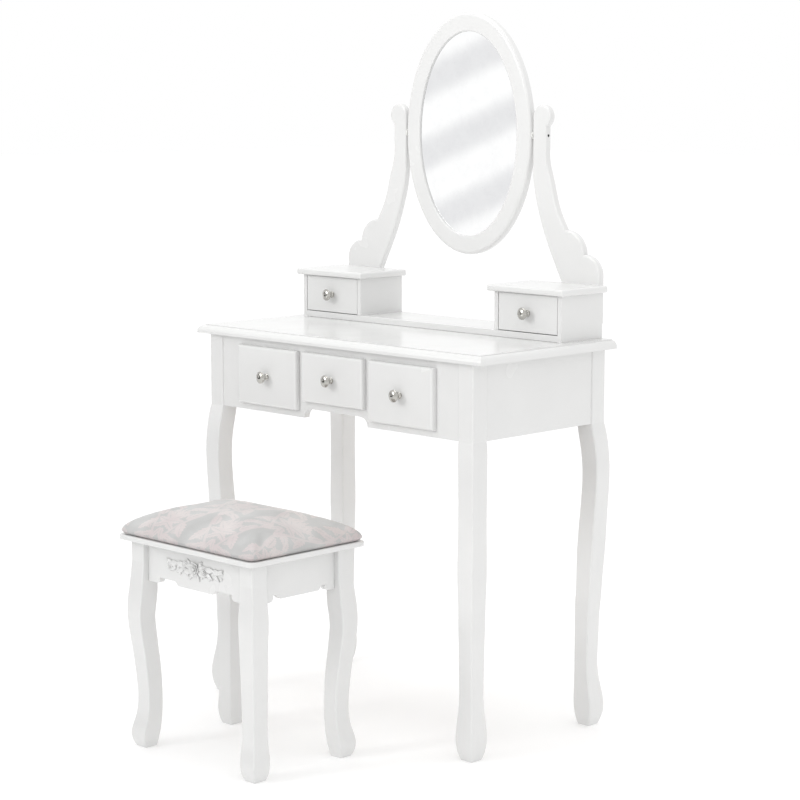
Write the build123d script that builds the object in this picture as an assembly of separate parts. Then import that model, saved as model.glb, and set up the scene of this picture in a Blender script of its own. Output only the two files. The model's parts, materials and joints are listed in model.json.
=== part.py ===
"""Dressing table set in white lacquer.

Table with three drawers, upper chest with two small drawers, oval mirror between two
scroll-cut posts, and an upholstered stool. Millimetres, +X to the user's right, +Y to the
back, +Z up. The origin lies on the floor at the centre of the set's footprint.
"""
import os
from math import cos, hypot, pi, sin, sqrt

from build123d import *

os.makedirs("parts", exist_ok=True)

# ---- Driving dimensions -------------------------------------------------------------
# Table top
top_width = 800.0
top_depth = 390.0
table_height = 775.0
top_thickness = 17.5
edge_run = 12.5          # width of the moulded edge, seen from above
edge_lip = 5.5           # upright lip at the bottom of the moulded edge
edge_quirk = 1.5         # small step where the moulding meets the flat top
edge_bulge = 2.6         # how far the thumbnail stands out of its chord

# Table legs and frame
leg_post = 38.5          # side of the square post
leg_side_inset = 28.4    # top's side edge to the post
leg_front_inset = 11.0   # top's front edge to the post
apron_height = 147.5     # height of rail and panels under the top
panel_thickness = 15.0
panel_setback = 2.7      # post face to panel face
corner_radius = 3.0      # softened leg corners

# Main drawers
drawer_end_margin = 58.1  # outer drawers' fronts to the legs
front_spacing = 15.5     # between neighbouring fronts
drawer_top_gap = 14.6    # underside of the top to the drawer front
side_front_height = 119.0
centre_front_height = 98.7
front_thickness = 11.4
front_edge_radius = 5.0
front_gap = 0.4          # drawer front to the rail when shut
front_overlap = 8.0      # front's cover over its hole, each side
tray_back_gap = 59.0     # tray's back to the rear panel
tray_side = 10.0
tray_clearance = 1.5     # tray to the hole in the rail, each side
bottom_thickness = 3.0
bottom_lift = 5.0        # groove above the tray's lower edge
groove_depth = 4.0
tray_top_drop = 16.0     # top of the hole to the tray's upper edge

# Arch in the front rail
arch_low_half = 90.0     # half-width of the arch at the rail's lower edge
arch_rise = 19.0
arch_shoulder = 30.0     # width of each rounded shoulder

# Drawer runners and dividers
divider_thickness = 12.0
runner_thickness = 10.0
runner_ledge = 8.0
runner_height = 34.0
slide_gap = 0.5          # under the tray and beside it

# Corner brackets, leg bolts and cam locks
bracket_thickness = 2.0
bracket_height = 50.0
bracket_flange = 19.0
bracket_standoff = 17.0  # plate's clearance measure from the post's inner corner
bracket_below_top = 20.0
bolt_radius = 3.0
bolt_in_leg = 28.0
nut_flats = 10.0
nut_height = 5.0
cam_radius = 7.5
cam_depth = 12.0
cam_drop = 18.0
cam_pin_radius = 3.0
cam_pin_in_top = 9.0

# Upper chest
chest_side_inset = 37.5  # top's side edge to the chest
chest_depth = 122.5
base_thickness = 13.0
box_width = 173.5
box_case_height = 90.0   # table top to the underside of the box top
box_board = 9.5
box_top_thickness = 13.0
box_top_overhang = 11.7
box_top_radius = 4.0
small_front_thickness = 12.0
small_gap = 1.4          # around the inset drawer front
small_tray_side = 8.0
small_tray_height = 55.0
small_tray_clearance = 1.0
small_tray_back_gap = 6.0

# Posts
post_thickness = 15.0
post_neck_width = 35.6
post_edge_radius = 3.5
post_foot_width = 91.5
post_foot_inset = 9.0    # box's outer side to the foot
post_foot_lift = 27.0    # table top to the foot's lower edge
post_foot_rise = 15.0    # top of the box to the foot's upper corner
ball_radius = 23.0
ball_lift = 37.5         # pivot to the ball's centre

# Mirror
mirror_half_width = 173.4
mirror_half_height = 246.1
frame_face = 38.5        # width of the frame's face round the glass
frame_thickness = 19.0
frame_outer_radius = 6.5
frame_inner_radius = 2.5
pivot_lift = 391.0       # table top to the pivot
pivot_gap = 4.0          # frame to post, at the pivot
lip_thickness = 4.0
rebate = 7.0
glass_thickness = 4.0
pivot_clearance = 0.05
pivot_radius = 3.0
pivot_in_frame = 22.0
pivot_recess = 1.5       # bolt's end below the post's edge
pivot_socket_radius = 1.7
washer_radius = 8.0
washer_clearance = 0.3

# Knobs
knob_head_radius = 12.0
knob_projection = 21.0
knob_neck_radius = 3.8
knob_base_radius = 6.8
knob_screw_radius = 2.0
knob_screw_in_knob = 12.0
screw_clearance = 0.05

# Stool
stool_width = 388.0
stool_depth = 290.0
stool_gap = 89.0         # stool's rear edge to the top's front edge
seat_board_top = 417.0
seat_board_thickness = 10.0
seat_corner_radius = 14.0
seat_edge_radius = 3.0
stool_post = 36.5
stool_leg_inset = 19.3
stool_bend_lift = 33.0   # aprons' lower edge to where the legs start to bend
stool_apron_height = 75.0
stool_apron_thickness = 12.0
stool_apron_setback = 12.0
apron_joint_gap = 0.2    # glue line between an apron's end and the bent leg
cushion_height = 58.0
cushion_band = 12.0      # upright side band
cushion_inset = 1.0
block_size = 34.0
block_height = 40.0
carving_depth = 7.0
carving_half_width = 81.0
carving_lift = 2.0       # above the middle of the apron

# ---- Places worked out from the sizes above ------------------------------------------
frame_behind_post = (frame_thickness - post_thickness) / 2
set_depth = stool_depth + stool_gap + top_depth + post_thickness + frame_behind_post
front_y = -set_depth / 2
stool_y = front_y + stool_depth / 2
top_front_y = front_y + stool_depth + stool_gap
top_back_y = top_front_y + top_depth
post_y = top_back_y + post_thickness / 2

top_under_z = table_height - top_thickness
apron_z = top_under_z - apron_height
post_x = top_width / 2 - leg_side_inset
post_front_y = top_front_y + leg_front_inset
table_mid_y = (post_front_y + top_back_y) / 2
leg_half_y = (top_back_y - post_front_y) / 2

rail_front_y = post_front_y + panel_setback
rail_back_y = rail_front_y + panel_thickness
rear_outer_y = top_back_y - panel_setback
rear_inner_y = rear_outer_y - panel_thickness
rail_half = post_x - leg_post
side_outer_x = post_x - panel_setback
side_inner_x = side_outer_x - panel_thickness

drawer_width = (2 * (rail_half - drawer_end_margin) - 2 * front_spacing) / 3
drawer_pitch = drawer_width + front_spacing
front_top_z = top_under_z - drawer_top_gap
front_back_y = rail_front_y - front_gap
front_face_y = front_back_y - front_thickness
drawer_length = rear_inner_y - tray_back_gap - front_back_y
hole_top_z = front_top_z - front_overlap
tray_top_z = hole_top_z - tray_top_drop
hole_width = drawer_width - 2 * front_overlap
tray_width = hole_width - 2 * tray_clearance

chest_front_y = top_back_y - chest_depth
box_outer_x = top_width / 2 - chest_side_inset
box_inner_x = box_outer_x - box_width
base_top_z = table_height + base_thickness
box_top_z = table_height + box_case_height
small_front_width = box_width - 2 * box_board - 2 * small_gap
small_front_height = box_top_z - base_top_z - 2 * small_gap
small_x = (box_outer_x + box_inner_x) / 2
small_front_z = (box_top_z + base_top_z) / 2
chest_top_z = box_top_z + box_top_thickness

glass_half_width = mirror_half_width - frame_face
glass_half_height = mirror_half_height - frame_face
pivot_z = table_height + pivot_lift
ball_centre_z = pivot_z + ball_lift
post_inner_x = mirror_half_width + pivot_gap
post_neck_x = post_inner_x + post_neck_width
post_foot_z = table_height + post_foot_lift
post_foot_outer_x = box_outer_x - post_foot_inset
post_foot_inner_x = post_foot_outer_x - post_foot_width
mirror_front_y = post_y - frame_thickness / 2
glass_front_y = mirror_front_y + lip_thickness
backing_front_y = glass_front_y + glass_thickness
mirror_back_y = mirror_front_y + frame_thickness

seat_under_z = seat_board_top - seat_board_thickness
stool_apron_z = seat_under_z - stool_apron_height
stool_half_x = stool_width / 2 - stool_leg_inset
stool_half_y = stool_depth / 2 - stool_leg_inset

stool_bend_z = stool_apron_z + stool_bend_lift

# Leg stations from top to floor: height as a share of the bent part's length, then how far
# the outer face and the inner face stand outwards of the post's outer and inner faces. Both
# faces bend alike in X and in Y, as a leg sawn from two sides.
table_leg_stations = [
    (1.000, 0.0, 0.0),
    (0.959, 4.3, 1.9),
    (0.902, 7.5, 5.7),
    (0.836, 8.8, 7.6),
    (0.754, 7.5, 6.5),
    (0.656, 5.4, 3.3),
    (0.541, 2.4, 0.9),
    (0.426, -0.8, -0.1),
    (0.328, -3.6, -0.7),
    (0.246, -4.7, -0.7),
    (0.180, -4.1, -0.6),
    (0.125, 0.2, -0.9),
    (0.069, 4.3, -1.0),
    (0.033, 2.4, 0.9),
    (0.000, -4.0, 5.0),
]
stool_leg_stations = [
    (1.000, 0.0, 0.0),
    (0.932, 1.8, 0.6),
    (0.849, 4.7, 0.7),
    (0.781, 6.8, 2.3),
    (0.707, 7.2, 4.3),
    (0.625, 5.1, 3.1),
    (0.534, 1.4, 0.7),
    (0.438, -1.9, -1.9),
    (0.329, -4.7, -3.5),
    (0.233, -5.0, -3.7),
    (0.153, -1.2, -2.7),
    (0.082, 4.2, -0.3),
    (0.033, 2.6, 2.5),
    (0.000, -2.4, 5.1),
]


# ---- Helpers ----------------------------------------------------------------------
def board(x_range, y_range, z_range):
    """A plain board between two X, two Y and two Z values."""
    size = [high - low for low, high in (x_range, y_range, z_range)]
    middle = [(high + low) / 2 for low, high in (x_range, y_range, z_range)]
    return Pos(*middle) * Box(*size)


def around(middle, size):
    """The range of a given size about a middle value."""
    return (middle - size / 2, middle + size / 2)


def rod(start, end, radius):
    """A round bar from one point to another."""
    start, end = Vector(*start), Vector(*end)
    plane = Plane(origin=start, z_dir=end - start)
    return plane * extrude(Circle(radius), amount=(end - start).length)


def flip(shape):
    """The shape's twin on the other side of the set."""
    return mirror(shape, about=Plane.YZ)


def save(name, *solids):
    """Write one node, as one solid or as a group of separate solids."""
    shape = solids[0] if len(solids) == 1 else Compound(children=list(solids))
    export_step(shape, f"parts/{name}.step")


def ellipse_board(half_width, half_height, y_front, thickness):
    """An upright oval board, centred on the mirror's pivot."""
    plane = Plane(origin=(0, y_front, pivot_z), x_dir=(1, 0, 0), z_dir=(0, 1, 0))
    return plane * extrude(Ellipse(half_width, half_height), amount=thickness)


def wood_screw(length, radius=1.8, head_radius=3.8):
    """A countersunk screw pointing along +Z, with the top of its head at zero."""
    outline = Polyline((0, 0), (head_radius, 0), (radius, head_radius - radius),
                       (radius, length - 3 * radius), (0, length), (0, 0))
    face = make_face(Plane.XZ * outline)
    return revolve(face, Axis.Z)


def placed(shape, origin, direction):
    """A shape drawn along +Z, moved to start at origin and point along direction."""
    return Plane(origin=origin, z_dir=direction) * shape


# ---- Legs -------------------------------------------------------------------------
def sawn_leg(stations, post, bend_z, top_z):
    """A bent leg whose post's outer corner stands on the Z axis, facing +X and +Y."""
    sections = []
    for share, outer, inner in reversed(stations):
        size = post + outer - inner
        middle = outer - size / 2
        square = RectangleRounded(size, size, corner_radius)
        sections.append(Pos(middle, middle, share * bend_z) * square)
    square = Pos(-post / 2, -post / 2, bend_z) * RectangleRounded(post, post, corner_radius)
    return loft(sections) + extrude(square, amount=top_z - bend_z)


def four_legs(leg, half_x, half_y, mid_y):
    """The leg at the rear right corner and its three twins: name of the corner to solid."""
    legs = {}
    for side, sign_x in (("left", -1), ("right", 1)):
        for end, sign_y in (("front", -1), ("rear", 1)):
            turned = leg
            if sign_x < 0:
                turned = mirror(turned, about=Plane.YZ)
            if sign_y < 0:
                turned = mirror(turned, about=Plane.XZ)
            legs[f"{end}_{side}"] = Pos(sign_x * half_x, mid_y + sign_y * half_y, 0) * turned
    return legs


def four_corners(make, half_x, half_y, mid_y):
    """What make() returns for one corner facing +X and +Y, at all four corners."""
    return list(four_legs(make, half_x, half_y, mid_y).values())


def hanger_bolt(post, reach, plate_distance, plate, z):
    """A bolt on the diagonal through the post's inner corner, and its nut."""
    step = 1 / sqrt(2)

    def at(distance):
        return (-distance * step, -distance * step, z)

    nut_start = plate_distance + plate
    bolt_end = nut_start + nut_height + 4
    bolt = rod(at(post * sqrt(2) - reach), at(bolt_end), bolt_radius)
    nut = extrude(RegularPolygon(nut_flats / 2, 6, major_radius=False), amount=nut_height)
    nut = placed(nut, at(nut_start), (-1, -1, 0))
    return bolt, nut - bolt


def corner_bracket(plate_distance, panel_depth, z_range):
    """A steel plate across a corner, with a flange along each panel's inner face."""
    t = bracket_thickness
    d = panel_depth
    reach = plate_distance * sqrt(2) - d
    turn = reach + t * (sqrt(2) - 1)
    far = reach + bracket_flange
    outline = Polyline((-far, -d), (-reach, -d), (-d, -reach), (-d, -far), (-d - t, -far),
                       (-d - t, -turn), (-turn, -d - t), (-far, -d - t), close=True)
    low, high = z_range
    return extrude(Pos(0, 0, low) * make_face(outline), amount=high - low)


# ---- Table ------------------------------------------------------------------------
def edge_profile(plane, near, far, both_ends):
    """Cross-section of the table top, with its moulding at one end or at both."""
    low_z, high_z = top_under_z, table_height
    quirk_z = high_z - edge_quirk
    lip_z = low_z + edge_lip
    bulge = edge_bulge / sqrt(2)
    middle = (edge_run / 2 - bulge, (lip_z + quirk_z) / 2 + bulge)

    def end(edge, inwards):
        inner = edge + inwards * edge_run
        return [Line((edge, low_z), (edge, lip_z)),
                ThreePointArc((edge, lip_z), (edge + inwards * middle[0], middle[1]),
                              (inner, quirk_z)),
                Line((inner, quirk_z), (inner, high_z))]

    lines = end(near, 1)
    inner_near = near + edge_run
    if both_ends:
        lines += end(far, -1)
        lines.append(Line((inner_near, high_z), (far - edge_run, high_z)))
    else:
        lines.append(Line((inner_near, high_z), (far, high_z)))
        lines.append(Line((far, high_z), (far, low_z)))
    lines.append(Line((near, low_z), (far, low_z)))
    return plane * make_face(Curve() + lines)


def make_table_top():
    """The top: its moulded edge runs along the front and both sides and is mitred."""
    across = edge_profile(Plane.XZ, -top_width / 2, top_width / 2, True)
    along = edge_profile(Plane.YZ, top_front_y, top_back_y, False)
    sides = Pos(0, top_back_y, 0) * extrude(across, amount=top_depth)
    front = Pos(-top_width / 2, 0, 0) * extrude(along, amount=top_width)
    return sides & front


def main_drawer_places():
    """Name, centre and front height of each drawer in the table."""
    return [("drawer_left", -drawer_pitch, side_front_height),
            ("drawer_centre", 0.0, centre_front_height),
            ("drawer_right", drawer_pitch, side_front_height)]


def hole_bottom_z(front_height):
    """Lower edge of a drawer's hole in the front rail."""
    return front_top_z - front_height + front_overlap


def make_front_rail():
    """Rail between the front legs: an arch under the middle drawer and three holes."""
    arch_z = apron_z + arch_rise
    foot = (arch_low_half, apron_z)
    crown = (arch_low_half - arch_shoulder, arch_z)
    right = [Line((rail_half, top_under_z), (rail_half, apron_z)),
             Line((rail_half, apron_z), foot),
             Spline([foot, crown], tangents=[(0, 1), (-1, 0)]),
             Line(crown, (0, arch_z))]
    left = [mirror(edge, about=Plane.YZ) for edge in right]
    outline = Curve() + right + left + Line((-rail_half, top_under_z), (rail_half, top_under_z))
    face = Plane.XZ * make_face(outline)
    rail = Pos(0, rail_back_y, 0) * extrude(face, amount=panel_thickness)
    for _, x, height in main_drawer_places():
        hole = board(around(x, hole_width), (rail_front_y - 1, rail_back_y + 1),
                     (hole_bottom_z(height), hole_top_z))
        rail -= hole
    return rail


def make_runners():
    """Two runners for each drawer: a ledge under the tray and a guide beside it."""
    runners = []
    divider_face = drawer_pitch / 2 - divider_thickness / 2
    for _, x, height in main_drawer_places():
        ledge_z = hole_bottom_z(height)
        for side in (-1, 1):
            inner = x + side * (tray_width / 2 + slide_gap)
            outer = x + side * divider_face
            if abs(outer) > drawer_pitch:
                outer = inner + side * runner_thickness
            edge = inner - side * runner_ledge
            low_z = ledge_z - runner_ledge
            guide = board(sorted((inner, outer)), (rail_back_y, rear_inner_y),
                          (low_z, low_z + runner_height))
            ledge = board(sorted((edge, inner)), (rail_back_y, rear_inner_y),
                          (low_z, ledge_z))
            runners.append(guide + ledge)
    return runners


def cam_locks():
    """Cams in the panels, each with a pin up into the table top."""
    cam_z = top_under_z - cam_drop
    middle_y = (rail_back_y + rear_inner_y) / 2
    spread_y = (rear_inner_y - rail_back_y) / 5
    seats = [((x, rail_back_y), (0, -1, 0)) for x in (-drawer_pitch, 0, drawer_pitch)]
    seats += [((x, rear_inner_y), (0, 1, 0)) for x in (-drawer_pitch, drawer_pitch)]
    for side in (-1, 1):
        for y in (middle_y - spread_y, middle_y + spread_y):
            seats.append(((side * side_inner_x, y), (side, 0, 0)))
    locks = []
    for (x, y), inwards in seats:
        cam = placed(extrude(Circle(cam_radius), amount=cam_depth), (x, y, cam_z), inwards)
        pin_x = x + inwards[0] * cam_depth / 2
        pin_y = y + inwards[1] * cam_depth / 2
        pin = rod((pin_x, pin_y, cam_z), (pin_x, pin_y, top_under_z + cam_pin_in_top),
                  cam_pin_radius)
        locks += [cam - pin, pin]
    return locks


# ---- Knobs and drawers --------------------------------------------------------------
def make_knob(face_y, x, z, board_thickness):
    """A mushroom knob on a drawer front, with its screw from inside the drawer."""
    head = knob_head_radius
    neck = knob_neck_radius
    base = knob_base_radius
    out = knob_projection
    shoulder = (head - 1.0, 0.82 * out)
    dome_rise = out - shoulder[1]
    dome_radius = (shoulder[0] ** 2 + dome_rise ** 2) / (2 * dome_rise)
    base_rim = (base, 0.06 * out)
    neck_low = (neck, 0.28 * out)
    neck_high = (neck, 0.44 * out)
    rim = (head - 1.2, 0.70 * out)
    outline = [Line((0, 0), (base, 0)),
               Line((base, 0), base_rim),
               ThreePointArc(base_rim, (neck + 0.8, 0.15 * out), neck_low),
               Line(neck_low, neck_high),
               ThreePointArc(neck_high, (neck + 1.8, 0.58 * out), rim),
               ThreePointArc(rim, (head, 0.76 * out), shoulder),
               RadiusArc(shoulder, (0, out), -dome_radius),
               Line((0, out), (0, 0))]
    knob = revolve(Plane.XZ * make_face(Curve() + outline), Axis.Z)
    knob = placed(knob, (x, face_y, z), (0, -1, 0))
    tip_y = face_y - knob_screw_in_knob
    inner_y = face_y + board_thickness
    knob -= rod((x, face_y + 1, z), (x, tip_y - 0.5, z), knob_screw_radius + screw_clearance)
    shank = rod((x, inner_y, z), (x, tip_y, z), knob_screw_radius)
    screw_head = rod((x, inner_y, z), (x, inner_y + 2.2, z), 2 * knob_screw_radius)
    return knob, shank + screw_head


def make_tray(x, width, side, y_range, z_range):
    """Two sides and a back, grooved for the bottom, and the bottom panel."""
    front, back = y_range
    low, high = z_range
    groove = (low + bottom_lift, low + bottom_lift + bottom_thickness)
    inner = width / 2 - side
    bottom = board(around(x, 2 * (inner + groove_depth)), (front, back - side + groove_depth),
                   groove)
    walls = [board((x - width / 2, x - inner), y_range, z_range),
             board((x + inner, x + width / 2), y_range, z_range),
             board((x - inner, x + inner), (back - side, back), z_range)]
    return [wall - bottom for wall in walls], bottom


def make_front(x, z, width, height, y_range, radius):
    """A drawer front with rounded edges round its face."""
    front = board(around(x, width), y_range, around(z, height))
    return fillet(front.faces().sort_by(Axis.Y)[0].edges(), radius)


def save_drawer(name, front, tray, bottom, knob):
    """Write one drawer's nodes, with the screw's hole through its front."""
    knob_body, screw = knob
    save(f"{name}_front", front - screw)
    save(f"{name}_tray", *tray)
    save(f"{name}_bottom", bottom)
    save(f"{name}_knob", knob_body, screw)


def save_main_drawers():
    """The three drawers under the table top."""
    for name, x, height in main_drawer_places():
        z = front_top_z - height / 2
        front = make_front(x, z, drawer_width, height, (front_face_y, front_back_y),
                           front_edge_radius)
        tray_z = hole_bottom_z(height) + slide_gap
        tray, bottom = make_tray(x, tray_width, tray_side,
                                 (front_back_y, front_back_y + drawer_length),
                                 (tray_z, tray_top_z))
        save_drawer(name, front, tray, bottom, make_knob(front_face_y, x, z, front_thickness))


def save_small_drawers():
    """The two drawers of the upper chest, inset in their boxes."""
    tray_width_small = box_width - 2 * box_board - 2 * small_tray_clearance
    back_y = top_back_y - box_board - small_tray_back_gap
    inner_y = chest_front_y + small_front_thickness
    tray_z = base_top_z + slide_gap
    for name, x in (("small_drawer_left", -small_x), ("small_drawer_right", small_x)):
        front = make_front(x, small_front_z, small_front_width, small_front_height,
                           (chest_front_y, inner_y), 1.0)
        tray, bottom = make_tray(x, tray_width_small, small_tray_side, (inner_y, back_y),
                                 (tray_z, tray_z + small_tray_height))
        knob = make_knob(chest_front_y, x, small_front_z, small_front_thickness)
        save_drawer(name, front, tray, bottom, knob)


# ---- Upper chest ----------------------------------------------------------------------
def make_box_case():
    """The right-hand box: inner side, outer side and back, as separate boards."""
    y_range = (chest_front_y, top_back_y)
    outer = board((box_outer_x - box_board, box_outer_x), y_range, (table_height, box_top_z))
    inner = board((box_inner_x, box_inner_x + box_board), y_range, (base_top_z, box_top_z))
    back = board((box_inner_x + box_board, box_outer_x - box_board),
                 (top_back_y - box_board, top_back_y), (base_top_z, box_top_z))
    return [outer, inner, back]


def make_box_top():
    """The right-hand box's top, overhanging at the front and both sides."""
    top = board((box_inner_x - box_top_overhang, box_outer_x + box_top_overhang),
                (chest_front_y - box_top_overhang, top_back_y),
                (box_top_z, box_top_z + box_top_thickness))
    back_face = top.faces().sort_by(Axis.Y)[-1]
    edges = [edge for edge in top.edges() if edge not in back_face.edges()]
    return fillet(edges, box_top_radius)


# ---- Posts and mirror -------------------------------------------------------------------
def scallop(start, end, depth):
    """A hollow or a lobe between two points, deeper for a smaller share."""
    return RadiusArc(start, end, -depth * hypot(end[0] - start[0], end[1] - start[1]))


def post_outline():
    """The right-hand post's outline: ball end, long sweep and two scallops."""
    inner = post_inner_x
    foot = post_foot_inner_x
    outer = post_foot_outer_x
    rise = pivot_z - chest_top_z

    def outer_point(x_share, z_share):
        return (post_neck_x + x_share * (outer - post_neck_x), chest_top_z + z_share * rise)

    def inner_point(x_share, z_share):
        return (inner + x_share * (foot - inner), chest_top_z + z_share * rise)

    foot_top = (outer, chest_top_z + post_foot_rise)
    notch_low = outer_point(0.709, 0.198)
    notch_high = outer_point(0.363, 0.358)
    sweep_in = outer_point(0, 0.875)
    ball_drop = sqrt(ball_radius ** 2 - (post_neck_width - ball_radius) ** 2)
    neck = (post_neck_x, ball_centre_z - ball_drop)
    ball_side = (inner, ball_centre_z)
    ball_top = (inner + ball_radius, ball_centre_z + ball_radius)
    sweep_start = inner_point(0, 0.764)
    sweep_end = (foot, chest_top_z - post_foot_rise)
    return [
        Line((foot, post_foot_z), (outer, post_foot_z)),
        Line((outer, post_foot_z), foot_top),
        scallop(foot_top, notch_low, 0.70),
        scallop(notch_low, notch_high, 0.72),
        Spline([notch_high, outer_point(0.214, 0.490), outer_point(0.075, 0.712), sweep_in],
               tangents=[(-0.5, 0.85), (0, 1)]),
        Line(sweep_in, neck),
        ThreePointArc(neck, ball_top, ball_side),
        Line(ball_side, sweep_start),
        Spline([sweep_start, inner_point(0.132, 0.528), inner_point(0.397, 0.309), sweep_end],
               tangents=[(0, -1), (0.42, -0.9)]),
        Line(sweep_end, (foot, post_foot_z)),
    ]


def make_post():
    """The right-hand post, with the hole through it that the mirror's bolt turns in."""
    face = Plane.XZ * make_face(Curve() + post_outline())
    post = Pos(0, post_y + post_thickness / 2, 0) * extrude(face, amount=post_thickness)
    rims = post.faces().filter_by(Axis.Y).edges()
    post = fillet(rims, post_edge_radius)
    return post - rod((post_inner_x - 1, post_y, pivot_z), (post_neck_x + 1, post_y, pivot_z),
                      pivot_radius + pivot_clearance)


def make_pivot_bolt():
    """The right-hand pivot bolt: it turns with the mirror inside the post's hole."""
    start = mirror_half_width - pivot_in_frame
    end = post_neck_x - pivot_recess
    shank = rod((start, post_y, pivot_z), (end, post_y, pivot_z), pivot_radius)
    socket = placed(extrude(RegularPolygon(pivot_socket_radius, 6), amount=pivot_radius),
                    (end, post_y, pivot_z), (-1, 0, 0))
    return shank - socket


def make_pivot_washer():
    """The washer between the right-hand post and the mirror frame."""
    ring = rod((mirror_half_width + washer_clearance, post_y, pivot_z),
               (post_inner_x - washer_clearance, post_y, pivot_z), washer_radius)
    return ring - rod((mirror_half_width - 1, post_y, pivot_z),
                      (post_inner_x + 1, post_y, pivot_z), pivot_radius + pivot_clearance)


def make_mirror_frame(bolts):
    """Oval frame with a rebate at the back for the glass and its backing board."""
    ring = ellipse_board(mirror_half_width, mirror_half_height, mirror_front_y,
                         frame_thickness)
    ring = fillet(ring.edges(), frame_outer_radius)
    ring -= ellipse_board(glass_half_width, glass_half_height, mirror_front_y - 1,
                          frame_thickness + 2)
    front_face = ring.faces().filter_by(Axis.Y).sort_by(Axis.Y)[0]
    ring = fillet(front_face.inner_wires()[0].edges(), frame_inner_radius)
    ring -= ellipse_board(glass_half_width + rebate, glass_half_height + rebate,
                          glass_front_y, frame_thickness)
    for bolt in bolts:
        ring -= bolt
    return ring


def backing_clips():
    """Small plates screwed to the frame's back that hold the backing board in."""
    clips = []
    screws = []
    for index in range(8):
        angle = pi / 8 + index * pi / 4
        x = (glass_half_width + rebate) * cos(angle)
        z = pivot_z + (glass_half_height + rebate) * sin(angle)
        outwards = Vector(x / (glass_half_width + rebate) ** 2, 0,
                          (z - pivot_z) / (glass_half_height + rebate) ** 2).normalized()
        plane = Plane(origin=(x, mirror_back_y, z), x_dir=outwards, z_dir=(0, 1, 0))
        plate = plane * extrude(RectangleRounded(24, 10, 4), amount=1.2)
        seat = Vector(x, mirror_back_y + 1.2, z) + outwards * 7
        screw = placed(wood_screw(9, 1.3, 2.6), seat, (0, -1, 0))
        clips.append(plate - screw)
        screws.append(screw)
    return clips, screws


# ---- Stool ----------------------------------------------------------------------------
def apron_face(half, flat_share, notch_share, notch_rise):
    """Upright face of a stool apron: a flat middle, a notch each side and low ends."""
    low_z = stool_apron_z
    high_z = low_z + notch_rise
    end_z = low_z - 3
    flat = flat_share * half
    notch = notch_share * half
    slope_end = flat + notch_rise * 1.4
    right = [Line((half, seat_under_z), (half, end_z)),
             Line((half, end_z), (notch + 6, end_z)),
             ThreePointArc((notch + 6, end_z), (notch + 1, low_z), (notch, high_z)),
             Line((notch, high_z), (slope_end, high_z)),
             Spline([(slope_end, high_z), (flat, low_z)], tangents=[(-1, -0.2), (-1, -0.2)]),
             Line((flat, low_z), (0, low_z))]
    left = [mirror(edge, about=Plane.YZ) for edge in right]
    return make_face(Curve() + right + left + Line((-half, seat_under_z), (half, seat_under_z)))


def make_stool_aprons():
    """Front, rear and side aprons, set back from the posts' faces."""
    half_x = stool_half_x - stool_post - apron_joint_gap
    half_y = stool_half_y - stool_post - apron_joint_gap
    wide = extrude(Plane.XZ * apron_face(half_x, 0.35, 0.755, 8),
                   amount=stool_apron_thickness)
    narrow = extrude(Plane.YZ * apron_face(half_y, 0.52, 0.74, 9),
                     amount=stool_apron_thickness)
    inner_y = stool_half_y - stool_apron_setback
    inner_x = stool_half_x - stool_apron_setback
    front = Pos(0, stool_y - inner_y + stool_apron_thickness, 0) * wide
    rear = Pos(0, stool_y + inner_y, 0) * wide
    right = Pos(inner_x - stool_apron_thickness, stool_y, 0) * narrow
    left = Pos(-inner_x, stool_y, 0) * narrow
    return front, rear, left, right


def corner_block():
    """A glued block that fills the inside corner between the aprons and the post."""
    d = stool_apron_setback + stool_apron_thickness
    p = stool_post
    far = p + block_size
    outline = Polyline((-p, -d), (-far, -d), (-d, -far), (-d, -p), (-p, -p), close=True)
    face = Pos(0, 0, seat_under_z - block_height) * make_face(outline)
    return extrude(face, amount=block_height)


def seat_screw():
    """A screw up through a corner block into the seat board."""
    length = block_height + 0.6 * seat_board_thickness
    return Pos(-stool_post - 16, -stool_apron_setback - 20, seat_under_z - block_height) \
        * wood_screw(length)


def make_carving(apron_front_y):
    """A rose with a leafy spray each side, glued to the front apron."""
    z = (seat_under_z + stool_apron_z) / 2 + carving_lift
    plane = Plane(origin=(0, apron_front_y, z), x_dir=(1, 0, 0), z_dir=(0, -1, 0))
    half_depth = carving_depth / 2
    width = carving_half_width
    shape = extrude(Circle(0.16 * width), amount=half_depth)
    shape += extrude(Circle(0.11 * width), amount=carving_depth)
    leaves = ((0.26, 2, 0.195, 0.11, 12), (0.49, -4, 0.18, 0.09, -18),
              (0.72, 0, 0.17, 0.08, 10), (0.90, 3, 0.10, 0.06, 25))
    for side in (-1, 1):
        for along, y, long, short, turn in leaves:
            leaf = extrude(Ellipse(long * width, short * width), amount=half_depth)
            shape += Pos(side * along * width, y, 0) * Rot(0, 0, side * turn) * leaf
    return plane * shape


# ---- Build the table ------------------------------------------------------------------
top = make_table_top()
rail = make_front_rail()
rear_panel = board((-rail_half, rail_half), (rear_inner_y, rear_outer_y),
                   (apron_z, top_under_z))
side_range = (post_front_y + leg_post, top_back_y - leg_post)
side_panel = board((side_inner_x, side_outer_x), side_range, (apron_z, top_under_z))
panels = {"front_rail": rail, "rear_panel": rear_panel,
          "left_side_panel": flip(side_panel), "right_side_panel": side_panel}

locks = cam_locks()
for lock in locks:
    top -= lock
    for panel_name in panels:
        panels[panel_name] -= lock
for panel_name, panel in panels.items():
    save(panel_name, panel)
save("cam_locks", *locks)

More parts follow.
